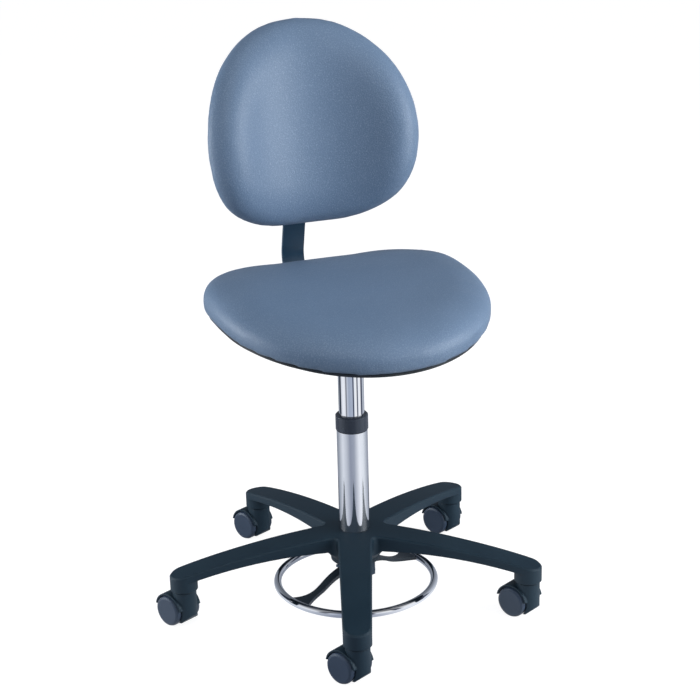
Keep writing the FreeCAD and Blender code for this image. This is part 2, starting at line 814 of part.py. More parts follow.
def seat_bolt_points():
    return [(x, y) for x in (-bolt_x, bolt_x) for y in (bolt_front_y, bolt_rear_y)]


pan_high = -seat_gap
pan_low = pan_high - seat_pan_thickness
plate_high = seat_height(0, plate_front_y, pan_low) - seat_gap
plate_low = plate_high - plate_thickness


def make_seat_board():
    board = seat_layer(seat_board_inset, 0, seat_board_thickness)
    holes = [rod(bolt_r + weld_gap, -seat_board_thickness, plate_high + bolt_grip + 2 * seat_gap, *point)
             for point in seat_bolt_points()]
    return on_seat(board.cut(holes))


def make_seat_pan():
    """Thin moulded pan under the board, with a flat pad for the plate."""
    pan = seat_layer(seat_pan_inset, pan_low, pan_high)
    pad_low = (-plate_half_width - over, plate_front_y - over, plate_high)
    pad_high = (plate_half_width + over, plate_rear_y + over, pan_high - 2 * seat_gap)
    below = seat_layer(seat_pan_inset, plate_high - over, pan_high)
    pan = fused([pan, block(pad_low, pad_high).common(below)])
    holes = [rod(bolt_r + weld_gap, plate_low - over, over, *point) for point in seat_bolt_points()]
    return on_seat(pan.cut(holes))


def rounded_plate(half_x, low_y, high_y, low_z, high_z, corner_r):
    plate = block((-half_x, low_y, low_z), (half_x, high_y, high_z))
    corners = [edge for edge in plate.Edges if abs(edge.tangentAt(edge.FirstParameter).z) > 0.5]
    return plate.makeFillet(corner_r, corners)


def make_seat_plate():
    """Steel plate with the tapered socket that drops on the spindle."""
    plate = rounded_plate(plate_half_width, plate_front_y, plate_rear_y, plate_low, plate_high,
                          plate_corner_r)
    hole_r = bolt_r + weld_gap
    holes = [rod(hole_r, plate_low - over, plate_high + over, *point) for point in seat_bolt_points()]
    plate = on_seat(plate.cut(holes))
    flange_z = guide_tube_top_z + spindle_flange
    top_z = seat_z + (plate_low + plate_high) / 2
    socket = fused([plate, rod(socket_r, socket_bottom_z, top_z)])
    low_r = spindle_r + weld_gap
    high_z = flange_z + spindle_length + seat_gap
    bore = turned([(0, flange_z), (low_r, flange_z), (low_r - spindle_taper, high_z), (0, high_z)])
    return socket.cut(bore)


def make_seat_bolts():
    bolts = []
    for point in seat_bolt_points():
        shank = rod(bolt_r, plate_low, plate_high + bolt_grip, *point)
        head = rod(bolt_head_r, plate_low - bolt_head, plate_low, *point)
        bolts.append(on_seat(shank.fuse(head).removeSplitter()))
    return Part.makeCompound(bolts)


# Back bar: a line in the side plane through its guide, up behind the seat and along the back

bar_high = plate_low - seat_gap
bar_low = bar_high - bar_thickness
guide_floor = bar_low - bar_play
guide_side = bar_half_width + bar_play
depth_knob_y = (guide_front_y + guide_rear_y) / 2

back_turn = Rotation(X, 90 - back_lean)
back_base = Vector(0, back_y, back_z)
cover_high = -back_thickness - seat_gap
cover_low = cover_high - back_cover_thickness
bracket_high = cover_low - seat_gap
bracket_low = bracket_high - bracket_thickness
bar_front_n = bracket_low - bar_play
bar_rear_n = bar_front_n - bar_thickness
clamp_inner_n = bar_rear_n - bar_play
clamp_outer_n = clamp_inner_n - bracket_thickness


def on_back(shape):
    return placed(shape, back_base, back_turn)


def crossing(point_a, way_a, point_b, way_b):
    """Where two lines of the side plane meet."""
    offset = point_b - point_a
    turn = way_a.y * way_b.z - way_a.z * way_b.y
    reach = (offset.y * way_b.z - offset.z * way_b.y) / turn
    return point_a + way_a * reach


def bar_route():
    low_way = seat_turn * Y
    start = seat_base + seat_turn * Vector(0, bar_front_y, (bar_high + bar_low) / 2)
    lean = math.radians(bar_forward_lean)
    rise_way = Vector(0, -math.sin(lean), math.cos(lean))
    mark = Vector(0, bar_mark_y, bar_mark_z)
    middle_n = (bar_front_n + bar_rear_n) / 2
    end = back_base + back_turn * Vector(0, bar_top_v, middle_n)
    top_way = back_turn * Y
    return [start, crossing(start, low_way, mark, rise_way), crossing(mark, rise_way, end, top_way), end]


def bent_line(points, radii):
    """Straight runs joined by tangent arcs in the side plane."""
    edges = []
    here = points[0]
    for before, corner, after, radius in zip(points, points[1:], points[2:], radii):
        way_in = (corner - before).normalize()
        way_out = (after - corner).normalize()
        half_turn = way_in.getAngle(way_out) / 2
        reach = radius * math.tan(half_turn)
        start = corner - way_in * reach
        end = corner + way_out * reach
        inward = (way_out - way_in).normalize()
        middle = corner + inward * (radius / math.cos(half_turn) - radius)
        edges += [segment(here, start), arc(start, middle, end)]
        here = end
    return edges + [segment(here, points[-1])]


def make_back_bar():
    """Flat bar with a rounded upper end, swept along its bent line."""
    points = bar_route()
    path = Part.Wire(bent_line(points, (bar_lower_bend_r, bar_upper_bend_r)))
    up = seat_turn * Z * (bar_thickness / 2)
    side = X * bar_half_width
    corners = [-side - up, side - up, side + up, -side + up, -side - up]
    section = Part.makePolygon([points[0] + corner for corner in corners])
    bar = path.makePipeShell([section], True, False)
    reach = math.hypot(bar_half_width, bar_thickness)
    short = [edge for edge in bar.Edges if edge.Length < bar_half_width]
    tip_edges = [edge for edge in short if edge.CenterOfMass.distanceToPoint(points[-1]) < reach]
    return bar.makeFillet(bar_tip_r, tip_edges)


def make_bar_guide():
    """Channel welded under the seat plate."""
    outer = guide_side + guide_wall
    low = guide_floor - guide_wall
    high = plate_low - weld_gap
    body = block((-outer, guide_front_y, low), (outer, guide_rear_y, high))
    flange_x = outer + guide_flange
    flange = block((-flange_x, guide_front_y, plate_low - guide_wall), (flange_x, guide_rear_y, high))
    tunnel_front = (-guide_side, guide_front_y - over, guide_floor)
    tunnel = block(tunnel_front, (guide_side, guide_rear_y + over, plate_low))
    hole = rod(knob_stud_r + running_gap, low - over, guide_floor + over, 0, depth_knob_y)
    return on_seat(fused([body, flange]).cut([tunnel, hole]))


def make_knob(stud_length):
    """Lobed clamp knob on a stud, with the stud's tip at the origin and the knob below."""
    neck_z = -stud_length - seat_gap
    top_z = -stud_length - knob_standoff
    low_z = top_z - knob_height
    knob = turned([(0, low_z), (knob_r, low_z), (knob_r, top_z), (knob_neck_r, top_z),
                   (knob_neck_r, neck_z), (knob_stud_r, neck_z), (knob_stud_r, 0), (0, 0)])
    scallop_reach = knob_r + knob_scallop_r / 2
    scallops = []
    for index in range(knob_lobes):
        place = Rotation(Z, 360.0 * index / knob_lobes) * Vector(scallop_reach, 0, 0)
        scallops.append(rod(knob_scallop_r, low_z - over, top_z + over, place.x, place.y))
    return knob.cut(scallops)


def make_depth_knob():
    knob = make_knob(guide_wall + bar_play - seat_gap)
    return on_seat(knob.translated(Vector(0, depth_knob_y, bar_low - seat_gap)))


# Back, in a frame on the front face's lower edge: X across, Y up the pad, Z out of its front

wrap_r = (back_half_width**2 + back_wrap**2) / (2 * back_wrap)
wrap_axis_n = wrap_r - back_thickness / 2
outline_n = back_wrap - back_thickness / 2


def back_wide_at():
    """Height of the full width, from which the side arcs run on into the dome."""
    rise = math.sqrt((back_side_arc_r - back_dome_r)**2 - (back_side_arc_r - back_half_width)**2)
    return back_length - back_dome_r - rise


def back_corner_r():
    """Radius of the corners that join the ends of the low edge to the side arcs."""
    end = math.asin(back_low_half_width / back_low_arc_r)
    span_x = back_side_arc_r - back_half_width
    span_y = back_low_arc_r - back_wide_at()
    reach = span_x * math.sin(end) - span_y * math.cos(end)
    gap = back_side_arc_r**2 - back_low_arc_r**2 - span_x**2 - span_y**2 - 2 * back_low_arc_r * reach
    return gap / (2 * (back_side_arc_r - back_low_arc_r - reach))


def back_outline(inset):
    return pad_outline(back_half_width, back_length, back_low_arc_r, back_side_arc_r, back_corner_r(),
                       back_wide_at(), inset)


def back_walls(inset, low, high):
    """Outline scaled across about the wrap's axis, so that the pad's walls point at that axis."""
    outline = back_outline(inset)
    ends = []
    for depth in (low, high):
        widen = FreeCAD.Matrix()
        widen.scale(Vector((wrap_axis_n - depth) / (wrap_axis_n - outline_n), 1, 1))
        wire = Part.Wire([edge.transformGeometry(widen) for edge in outline])
        ends.append(wire.translate(Z * depth))
    return Part.makeLoft(ends, True, True)


def wrap_drum(depth):
    """Upright drum whose wall lies at the given depth in the middle of the back."""
    foot = Vector(0, -2 * over, wrap_axis_n)
    return Part.makeCylinder(wrap_axis_n - depth, back_length + 4 * over, foot, Y)


def back_layer(inset, low, high):
    return back_walls(inset, low - over, back_wrap).common(wrap_drum(low)).cut(wrap_drum(high))


def front_r(v):
    """Radius of the pad's front face about the wrap's axis, least at mid height."""
    half = back_length / 2 + 2 * over
    crown_r = (half**2 + back_crown**2) / (2 * back_crown)
    return wrap_axis_n + crown_r - back_crown - math.sqrt(crown_r**2 - (v - back_length / 2)**2)


def on_wrap(radius, angle, v):
    return Vector(radius * math.sin(angle), v, wrap_axis_n - radius * math.cos(angle))


def front_space():
    """Space in front of the pad: sectors whose radius follows the crown."""
    sections = []
    reach = math.radians(wrap_reach)
    for index in range(curve_stations + 1):
        v = (back_length + 4 * over) * index / curve_stations - 2 * over
        radius = front_r(v)
        rim = [on_wrap(radius, angle, v) for angle in (-reach, 0, reach)]
        axis = Vector(0, v, wrap_axis_n)
        sections.append(Part.Wire([arc(*rim), segment(rim[2], axis), segment(axis, rim[0])]))
    return Part.makeLoft(sections, True, True)


def back_loop(inset, front_depth=None, rear_depth=None, end_n=None):
    """Outline of the pad at a depth behind its front face, before its rear face or on an end plane."""
    flat_reach = wrap_axis_n - outline_n

    def place(point, tangent):
        angle = math.atan2(point.x, flat_reach)
        stretch = wrap_axis_n * math.cos(angle)**2 / flat_reach
        side = unit(tangent.y, -tangent.x * stretch)
        angle -= inset * side[0] / wrap_axis_n
        v = point.y - inset * side[1]
        if end_n is not None:
            return Vector((wrap_axis_n - end_n) * math.tan(angle), v, end_n)
        if front_depth is not None:
            return on_wrap(front_r(v) + front_depth, angle, v)
        return on_wrap(wrap_axis_n + back_thickness - rear_depth, angle, v)

    return carried(back_outline(0), wrap_pieces, place)


def make_back_cushion():
    """Wrapped pad with a crowned front, rolled edges and a recess for its board."""
    rear = list(reversed(rolled(back_rear_edge_r, edge_steps)))
    rear[0] = (back_rear_edge_r, -roll_margin)
    front = rolled(back_front_edge_r, pad_steps)
    front[-1] = (back_front_edge_r, -roll_margin)
    loops = [back_loop(back_rear_edge_r, end_n=-back_thickness - back_wrap)]
    loops += [back_loop(inset, rear_depth=depth) for inset, depth in rear]
    loops += [back_loop(inset, front_depth=depth) for inset, depth in front]
    loops.append(back_loop(back_front_edge_r, end_n=outline_n + back_thickness))
    pad = Part.makeLoft(loops, True, True).common(wrap_drum(-back_thickness)).cut(front_space())
    board_top_n = back_board_thickness - back_thickness
    recess = back_layer(back_board_inset - seat_gap, -back_thickness - over, board_top_n + seat_gap)
    return on_back(pad.cut(recess))


def back_screw_points():
    x = bracket_half_width - bracket_margin
    return [(side * x, v) for side in (-1, 1) for v in (bracket_low_v, bracket_high_v)]


def back_screw_holes(low, high):
    return [rod(back_screw_r + weld_gap, low, high, *point) for point in back_screw_points()]


screw_tip_n = bracket_high + back_screw_grip


def make_back_board():
    board = back_layer(back_board_inset, -back_thickness, back_board_thickness - back_thickness)
    return on_back(board.cut(back_screw_holes(cover_low, screw_tip_n + seat_gap)))


def make_back_cover():
    """Rear shell with a flat pad that the bracket sits on."""
    cover = back_layer(back_cover_inset, cover_low, cover_high)
    pad = block((-bracket_half_width - over, bracket_low_v - 2 * bracket_margin, cover_low),
                (bracket_half_width + over, bracket_high_v + 2 * bracket_margin, wrap_r))
    cover = fused([cover, pad.cut(wrap_drum(cover_high))])
    return on_back(cover.cut(back_screw_holes(bracket_low, screw_tip_n + over)))


def make_back_bracket():
    """Screwed plate with the sleeve that the bar runs through."""
    low_v = bracket_low_v - bracket_margin
    high_v = bracket_high_v + bracket_margin
    plate = rounded_plate(bracket_half_width, low_v, high_v, bracket_low, bracket_high, bracket_margin)
    outer = guide_side + bracket_thickness
    sleeve = block((-outer, bracket_low_v, clamp_outer_n), (outer, bracket_high_v, bracket_low))
    tunnel = block((-guide_side, low_v - over, clamp_inner_n), (guide_side, high_v + over, bracket_low))
    middle_v = (bracket_low_v + bracket_high_v) / 2
    knob_hole = rod(knob_stud_r + running_gap, clamp_outer_n - over, clamp_inner_n + bar_play, 0, middle_v)
    holes = back_screw_holes(bracket_low - over, bracket_high + over)
    return on_back(fused([plate, sleeve]).cut([tunnel, knob_hole] + holes))


def make_back_screws():
    screws = []
    for point in back_screw_points():
        shank = rod(back_screw_r, bracket_low, screw_tip_n, *point)
        head = rod(back_screw_head_r, bracket_low - back_screw_head, bracket_low, *point)
        screws.append(on_back(shank.fuse(head).removeSplitter()))
    return Part.makeCompound(screws)


def make_height_knob():
    knob = make_knob(bracket_thickness + bar_play - seat_gap)
    tip = Vector(0, (bracket_low_v + bracket_high_v) / 2, bar_rear_n - seat_gap)
    return on_back(knob.translated(tip))


def main():
    os.makedirs("parts", exist_ok=True)
    yoke_turn = Rotation(Z, yoke_azimuth)
    export("base_star", make_base_star())
    export_casters()
    export("stand_tube", make_stand_tube())
    export("guide_bush", make_guide_bush())
    export("guide_tube", make_guide_tube())
    export("spindle_head", make_spindle_head())
    export("gas_cylinder", make_gas_cylinder())
    export("cylinder_seal", make_cylinder_seal())
    export("piston", make_piston())
    export("piston_rod", make_piston_rod())
    export("release_pin", make_release_pin())
    export("lower_washer", make_washer(bearing_z))
    export("upper_washer", make_washer(rod_shoulder_z - washer_thickness))
    export("thrust_bearing", make_thrust_bearing())
    export("retaining_clip", make_retaining_clip())
    export("foot_ring", make_foot_ring())
    export("foot_ring_yoke", placed(make_foot_ring_yoke(), ORIGIN, yoke_turn))
    export("yoke_retainer", make_yoke_retainer())
    export("retainer_screws", make_retainer_screws())
    export("seat_cushion", make_seat_cushion())
    export("seat_board", make_seat_board())
    export("seat_pan", make_seat_pan())
    export("seat_plate", make_seat_plate())
    export("seat_bolts", make_seat_bolts())
    export("bar_guide", make_bar_guide())
    export("depth_knob", make_depth_knob())
    export("back_bar", make_back_bar())
    export("back_cushion", make_back_cushion())
    export("back_board", make_back_board())
    export("back_cover", make_back_cover())
    export("back_bracket", make_back_bracket())
    export("back_screws", make_back_screws())
    export("height_knob", make_height_knob())


main()
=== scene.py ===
import bpy
import math
import numpy as np
from mathutils import Matrix, Vector
from mathutils.bvhtree import BVHTree


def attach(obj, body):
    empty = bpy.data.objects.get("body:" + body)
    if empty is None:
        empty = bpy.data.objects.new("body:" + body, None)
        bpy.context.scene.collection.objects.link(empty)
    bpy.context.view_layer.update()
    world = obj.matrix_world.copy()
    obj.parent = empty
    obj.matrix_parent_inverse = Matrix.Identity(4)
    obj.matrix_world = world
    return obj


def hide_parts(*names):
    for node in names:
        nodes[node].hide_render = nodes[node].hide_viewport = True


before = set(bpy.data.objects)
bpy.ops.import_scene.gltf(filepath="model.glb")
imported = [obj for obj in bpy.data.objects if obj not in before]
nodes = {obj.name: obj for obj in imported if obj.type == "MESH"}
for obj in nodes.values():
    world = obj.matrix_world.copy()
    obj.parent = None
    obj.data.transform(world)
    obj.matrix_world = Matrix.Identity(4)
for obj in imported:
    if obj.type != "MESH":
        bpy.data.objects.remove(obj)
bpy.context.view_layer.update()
scene = bpy.context.scene
scene.view_settings.view_transform = "Standard"


# Camera: the photograph's place, aim and lens

CAMERA_PLACE = Vector((-0.8910, -2.3211, 1.2571))
CAMERA_PITCH = math.radians(18.5)
CAMERA_ROLL = math.radians(-1.49)
CAMERA_LENS = 85.6
SENSOR_WIDTH = 36.0
CLIP_END = 200.0
UPRIGHT = Vector((0, 0, 1))

level = Vector((-CAMERA_PLACE.x, -CAMERA_PLACE.y, 0)).normalized()
aim = level * math.cos(CAMERA_PITCH) - UPRIGHT * math.sin(CAMERA_PITCH)
right = aim.cross(UPRIGHT).normalized()
up = right.cross(aim)
camera_x = right * math.cos(CAMERA_ROLL) + up * math.sin(CAMERA_ROLL)
camera_y = up * math.cos(CAMERA_ROLL) - right * math.sin(CAMERA_ROLL)
camera = bpy.data.objects.new("camera", bpy.data.cameras.new("camera"))
camera.data.lens = CAMERA_LENS
camera.data.sensor_width = SENSOR_WIDTH
camera.data.clip_end = CLIP_END
turn = Matrix((camera_x, camera_y, -aim)).transposed().to_4x4()
camera.matrix_world = Matrix.Translation(CAMERA_PLACE) @ turn
scene.collection.objects.link(camera)
scene.camera = camera


# Node helpers

EDGE_SAMPLES = 6


class Tree:
    """A node tree with short ways to add and join nodes."""

    def __init__(self, tree):
        self.tree = tree

    def add(self, kind, **inputs):
        node = self.tree.nodes.new("ShaderNode" + kind)
        for key, value in inputs.items():
            self.set(node, key, value)
        return node

    def set(self, node, key, value):
        """Give an input, by its name or number, a value or a link."""
        socket = node.inputs[key]
        if isinstance(value, bpy.types.NodeSocket):
            self.tree.links.new(value, socket)
        else:
            socket.default_value = value

    def math(self, operation, a, b):
        node = self.add("Math")
        node.operation = operation
        self.set(node, 0, a)
        self.set(node, 1, b)
        return node.outputs[0]

    def length(self, vector):
        node = self.add("VectorMath")
        node.operation = "LENGTH"
        self.set(node, 0, vector)
        return node.outputs["Value"]

    def mix(self, factor, first, second, blend="MIX"):
        """One colour from two; a Mix node keeps its colours in inputs 6 and 7 and output 2."""
        node = self.add("Mix")
        node.data_type = "RGBA"
        node.blend_type = blend
        self.set(node, 0, factor)
        self.set(node, 6, first)
        self.set(node, 7, second)
        return node.outputs[2]

    def ramp(self, factor, stops):
        node = self.add("ValToRGB", Fac=factor)
        ends = node.color_ramp.elements
        ends[0].position, ends[0].color = stops[0][0], (*stops[0][1], 1)
        ends[1].position, ends[1].color = stops[-1][0], (*stops[-1][1], 1)
        for place, colour in stops[1:-1]:
            ends.new(place).color = (*colour, 1)
        return node.outputs["Color"]

    def greys(self, factor, stops):
        return self.ramp(factor, [(place, (value, value, value)) for place, value in stops])

    def noise(self, coordinates, scale, detail, roughness=0.55):
        node = self.add("TexNoise", Vector=coordinates, Scale=scale, Detail=detail, Roughness=roughness)
        return node.outputs["Fac"]

    def bump(self, height, strength, distance, normal=None):
        node = self.add("Bump", Height=height, Strength=strength, Distance=distance)
        if normal is not None:
            self.set(node, "Normal", normal)
        return node.outputs["Normal"]

    def edge_normal(self, radius):
        node = self.add("Bevel", Radius=radius)
        node.samples = EDGE_SAMPLES
        return node.outputs["Normal"]


def surface(name):
    """New material: its tree, its shader and its object coordinates."""
    material = bpy.data.materials.new(name)
    material.use_nodes = True
    tree = Tree(material.node_tree)
    shader = material.node_tree.nodes["Principled BSDF"]
    coordinates = tree.add("TexCoord").outputs["Object"]
    return material, tree, shader, coordinates


# Materials

# Pale blue painted into the vinyl's colour in fine flecks: painted glints of its grain
VINYL_GLINT_FLECK = (0.30, 0.39, 0.52, 1)
VINYL_SHEEN = (0.86, 0.93, 1.0, 1)
NYLON_SHEEN = (0.80, 0.92, 1.0, 1)
PLATE_DULL = (0.80, 0.83, 0.88)
PLATE_BRIGHT = (0.86, 0.88, 0.92)
WOOD_PORE = (0.42, 0.27, 0.14)
WOOD_GRAIN = (0.58, 0.41, 0.23)
WOOD_PALE = (0.66, 0.50, 0.31)


def make_vinyl(name, dark, light):
    """Coated cloth: fine leathery grain, pale painted glints, faint cloudiness and a satin surface."""
    material, tree, shader, where = surface(name)
    cloud = tree.noise(where, scale=9.0, detail=3.0)
    colour = tree.ramp(cloud, [(0.3, dark), (0.7, light)])
    # Pale flecks mixed into the colour: painted glints, the sparkle of the grain
    speck = tree.noise(where, scale=560.0, detail=2.0, roughness=0.7)
    painted_glints = tree.greys(speck, [(0.50, 0.0), (0.78, 0.40)])
    tree.set(shader, "Base Color", tree.mix(painted_glints, colour, VINYL_GLINT_FLECK))
    tree.set(shader, "Roughness", tree.greys(cloud, [(0.2, 0.40), (0.8, 0.47)]))
    cells = tree.add("TexVoronoi", Vector=where, Scale=430.0)
    pores = tree.bump(cells.outputs["Distance"], strength=0.40, distance=0.0006)
    drape = tree.noise(where, scale=26.0, detail=2.0)
    tree.set(shader, "Normal", tree.bump(drape, strength=0.10, distance=0.004, normal=pores))
    tree.set(shader, "Specular Tint", VINYL_SHEEN)
    return material


def make_moulded(name, dark, light, roughness, grain, round_r):
    """Moulded plastic: spark-eroded grain, slight flow marks and softened edges."""
    material, tree, shader, where = surface(name)
    flow = tree.noise(where, scale=14.0, detail=3.0)
    tree.set(shader, "Base Color", tree.ramp(flow, [(0.3, dark), (0.72, light)]))
    tree.set(shader, "Roughness", tree.greys(flow, [(0.25, roughness - 0.05), (0.8, roughness + 0.06)]))
    tree.set(shader, "Specular Tint", NYLON_SHEEN)
    skin = tree.noise(where, scale=1300.0, detail=2.0)
    edge = tree.edge_normal(round_r)
    tree.set(shader, "Normal", tree.bump(skin, strength=grain, distance=0.0003, normal=edge))
    return material


def make_chrome(name, roughness, wave):
    """Bright plating with a faint wave and handling haze."""
    material, tree, shader, where = surface(name)
    haze = tree.noise(where, scale=22.0, detail=4.0)
    tree.set(shader, "Base Color", tree.ramp(haze, [(0.3, PLATE_DULL), (0.7, PLATE_BRIGHT)]))
    tree.set(shader, "Roughness", tree.greys(haze, [(0.3, roughness), (0.75, roughness + 0.04)]))
    tree.set(shader, "Metallic", 1.0)
    ripple = tree.noise(where, scale=60.0, detail=2.0)
    tree.set(shader, "Normal", tree.bump(ripple, strength=wave, distance=0.0004))
    return material


def make_steel(name, dark, light, roughness):
    """Zinc plated steel: turned or drawn marks and a dull bloom."""
    material, tree, shader, where = surface(name)
    bloom = tree.noise(where, scale=120.0, detail=4.0)
    tree.set(shader, "Base Color", tree.ramp(bloom, [(0.3, dark), (0.7, light)]))
    tree.set(shader, "Roughness", tree.greys(bloom, [(0.25, roughness - 0.08), (0.8, roughness + 0.08)]))
    tree.set(shader, "Metallic", 1.0)
    marks = tree.noise(where, scale=900.0, detail=2.0)
    tree.set(shader, "Normal", tree.bump(marks, strength=0.12, distance=0.0002))
    return material


def make_painted(name, dark, light):
    """Stoved paint with a light orange peel and softened edges."""
    material, tree, shader, where = surface(name)
    flow = tree.noise(where, scale=30.0, detail=3.0)
    tree.set(shader, "Base Color", tree.ramp(flow, [(0.3, dark), (0.7, light)]))
    tree.set(shader, "Roughness", tree.greys(flow, [(0.25, 0.34), (0.8, 0.44)]))
    peel = tree.noise(where, scale=420.0, detail=2.0)
    edge = tree.edge_normal(radius=0.0008)
    tree.set(shader, "Normal", tree.bump(peel, strength=0.12, distance=0.0004, normal=edge))
    return material


def make_plywood(name):
    """Birch face veneer: long grain with darker pores."""
    material, tree, shader, where = surface(name)
    stretch = tree.add("Mapping", Vector=where, Scale=(60.0, 6.0, 60.0))
    grain = tree.noise(stretch.outputs["Vector"], scale=3.0, detail=6.0, roughness=0.6)
    colour = tree.ramp(grain, [(0.3, WOOD_PORE), (0.55, WOOD_GRAIN), (0.8, WOOD_PALE)])
    tree.set(shader, "Base Color", colour)
    tree.set(shader, "Roughness", tree.greys(grain, [(0.2, 0.7), (0.8, 0.55)]))
    tree.set(shader, "Normal", tree.bump(grain, strength=0.2, distance=0.0005))
    return material


# The material of each slot in the frame
materials = {
    "vinyl": make_vinyl("vinyl_cover", dark=(0.094, 0.150, 0.238), light=(0.104, 0.162, 0.254)),
    "nylon": make_moulded("base_nylon", dark=(0.003, 0.014, 0.026), light=(0.006, 0.020, 0.034),
                          roughness=0.58, grain=0.16, round_r=0.0022),
    "wheel_nylon": make_moulded("wheel_nylon_skin", dark=(0.022, 0.036, 0.064), light=(0.030, 0.046, 0.078),
                                roughness=0.38, grain=0.10, round_r=0.0016),
    "black_plastic": make_moulded("black_plastic_skin", dark=(0.006, 0.008, 0.011),
                                  light=(0.012, 0.014, 0.018), roughness=0.38, grain=0.12, round_r=0.0008),
    "white_plastic": make_moulded("white_plastic_skin", dark=(0.62, 0.61, 0.58), light=(0.70, 0.69, 0.66),
                                  roughness=0.45, grain=0.10, round_r=0.0005),
    "chrome": make_chrome("chrome_plate", roughness=0.08, wave=0.03),
    "steel": make_steel("zinc_steel", dark=(0.42, 0.43, 0.44), light=(0.56, 0.57, 0.58), roughness=0.34),
    "painted_steel": make_painted("painted_bar", dark=(0.006, 0.030, 0.062), light=(0.010, 0.038, 0.074)),
    "plywood": make_plywood("birch_plywood"),
}

# Nodes that look different from the rest of their slot
polished = make_chrome("polished_chrome", roughness=0.015, wave=0.01)
own_materials = {
    "guide_tube": polished,
    "foot_ring": polished,
    "guide_bush": make_moulded("collar_skin", dark=(0.024, 0.030, 0.046), light=(0.032, 0.040, 0.058),
                               roughness=0.27, grain=0.08, round_r=0.0014),
    "foot_ring_yoke": make_painted("painted_yoke", dark=(0.010, 0.017, 0.026), light=(0.016, 0.025, 0.036)),
}

for name, node in nodes.items():
    slot = node.data.materials[0].name.split(".")[0]
    node.data.materials[0] = own_materials.get(name, materials[slot])


# Soft pieces: a cushion is a copy of its solid, blown up a little under its cover

UPWARD = np.array((0.0, 0.0, 1.0))
FORWARD = np.array((0.0, -1.0, 0.0))
PAD_VOXEL = 0.005
FACE_GROW = 0.003

# How often values are evened out: on the voxel mesh, in the softness, at a pad's rim and after the cloth
EVEN_ROUNDS = 10
SHARE_ROUNDS = 4
RIM_ROUNDS = 60
CLOTH_ROUNDS = 40

# A point whose normal turns toward the pad's middle lies in its recess, if it faces out by less than this
RECESS_OUT = 0.3

# The cloth starts inside the pad, is held where it is firm, and goes out by no more than its cap
HELD_SHARE = 0.1
CLOTH_SHRINK = 0.002
CLOTH_CAP = 0.004
CLOTH_PRESSURE = 4.0
CLOTH_STIFFNESS = 15.0
CLOTH_BENDING = 0.5
CLOTH_FRAMES = 20
NO_LENGTH = 1e-9


def spread(values, mesh, rounds):
    """Values at the points of a mesh, evened out between neighbours."""
    ends = np.empty(len(mesh.edges) * 2, dtype=np.int64)
    mesh.edges.foreach_get("vertices", ends)
    ends = ends.reshape(-1, 2)
    count = np.bincount(ends.ravel(), minlength=len(mesh.vertices))[:, None]
    for _ in range(rounds):
        total = np.zeros_like(values)
        np.add.at(total, ends[:, 0], values[ends[:, 1]])
        np.add.at(total, ends[:, 1], values[ends[:, 0]])
        values = (values + total / count) / 2
    return values


def vectors_of(mesh, kind):
    vectors = np.empty(len(mesh.vertices) * 3)
    mesh.vertices.foreach_get(kind, vectors)
    return vectors.reshape(-1, 3)


def points_of(mesh):
    return vectors_of(mesh, "co")


def normals_of(mesh):
    return vectors_of(mesh, "normal")


def place_points(mesh, points):
    mesh.vertices.foreach_set("co", points.ravel())
    mesh.update()


def soft_copy(name):
    """Even mesh with the form of a CAD solid, without its facets and without loss of size."""
    copy = bpy.data.objects.new(name + "_cover", nodes[name].data.copy())
    scene.collection.objects.link(copy)
    remesh = copy.modifiers.new("even", "REMESH")
    remesh.mode = "VOXEL"
    remesh.voxel_size = PAD_VOXEL
    mesh = bpy.data.meshes.new_from_object(copy.evaluated_get(bpy.context.evaluated_depsgraph_get()))
    solid = BVHTree.FromPolygons([vertex.co for vertex in copy.data.vertices],
                                 [polygon.vertices for polygon in copy.data.polygons])
    copy.modifiers.clear()
    copy.data = mesh
    even = spread(points_of(mesh), mesh, EVEN_ROUNDS)
    lost = np.array([solid.find_nearest(point)[0] for point in even]) - even
    place_points(mesh, even + spread(lost, mesh, EVEN_ROUNDS))
    return copy


def softness(piece, facing, centre, firm, free):
    """Share from 0 to 1 by which each point is soft.

    It grows with how far the point faces out, from firm to free, and is none inside a recess.
    """
    mesh = piece.data
    normals = normals_of(mesh)
    out = normals @ facing
    side = points_of(mesh) - centre
    side -= np.outer(side @ facing, facing)
    share = np.clip((out - firm) / (free - firm), 0.0, 1.0)
    share[((normals * side).sum(axis=1) < 0.0) & (out < RECESS_OUT)] = 0.0
    return spread(share[:, None], mesh, SHARE_ROUNDS)


def soften(piece, facing, share, face_grow, side_grow):
    """Let the soft face roll over its rim, and swell by one amount on the face and another at the sides."""
    mesh = piece.data
    points = points_of(mesh)
    place_points(mesh, points + share * (spread(points, mesh, RIM_ROUNDS) - points))
    normals = normals_of(mesh)
    out = np.clip(normals @ facing, 0.0, 1.0)[:, None]
    grow = face_grow * out + side_grow * (1.0 - out)
    place_points(mesh, points_of(mesh) + normals * share * grow)


